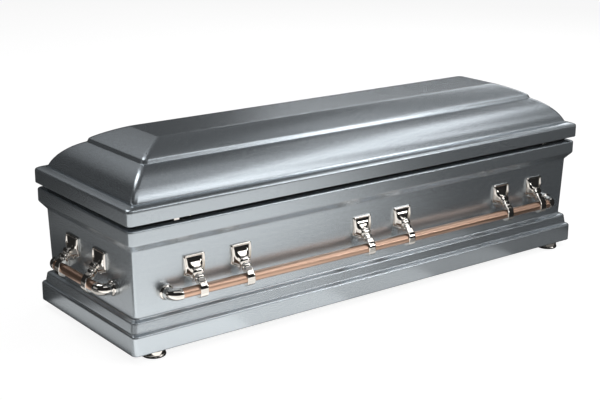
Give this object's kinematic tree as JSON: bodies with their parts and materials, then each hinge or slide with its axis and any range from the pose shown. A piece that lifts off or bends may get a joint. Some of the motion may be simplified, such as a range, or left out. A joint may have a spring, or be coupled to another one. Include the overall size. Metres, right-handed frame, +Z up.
{
  "type": "sheet metal casket",
  "caption": "Rectangular casket with a hollow flanged body, a stepped dome lid lifting off a gasket, bar handles on cast brackets and round feet.",
  "frame": {"origin": "centre of the footprint, on the surface that the feet stand on", "axes": "+X along the casket's length to the right seen from the front, -Y towards the front, +Z up"},
  "size_m": [2.211, 0.757, 0.6876],
  "materials": {
    "paint": "silver blue-grey metallic lacquer",
    "nickel": "polished nickel plate",
    "copper": "rose copper, satin",
    "rubber": "matt black"
  },
  "bodies": {
    "root": {"casket_body": "paint", "casket_lid": "paint", "lid_gasket": "rubber", "handle_bar_front": "copper", "handle_bar_back": "copper", "handle_bar_left_end": "copper", "handle_bar_right_end": "copper", "handle_bracket_front_1": "nickel", "handle_bracket_front_2": "nickel", "handle_bracket_front_3": "nickel", "handle_bracket_front_4": "nickel", "handle_bracket_front_5": "nickel", "handle_bracket_front_6": "nickel", "handle_bracket_back_1": "nickel", "handle_bracket_back_2": "nickel", "handle_bracket_back_3": "nickel", "handle_bracket_back_4": "nickel", "handle_bracket_back_5": "nickel", "handle_bracket_back_6": "nickel", "handle_bracket_left_end_1": "nickel", "handle_bracket_left_end_2": "nickel", "handle_bracket_right_end_1": "nickel", "handle_bracket_right_end_2": "nickel", "bar_tip_front_left": "nickel", "bar_tip_front_right": "nickel", "bar_tip_back_left": "nickel", "bar_tip_back_right": "nickel", "bar_tip_left_end_front": "nickel", "bar_tip_left_end_back": "nickel", "bar_tip_right_end_front": "nickel", "bar_tip_right_end_back": "nickel", "lid_catch_left": "nickel", "lid_catch_right": "nickel", "foot_front_left": "nickel", "foot_front_right": "nickel", "foot_back_left": "nickel", "foot_back_right": "nickel"}
  },
  "joints": []
}
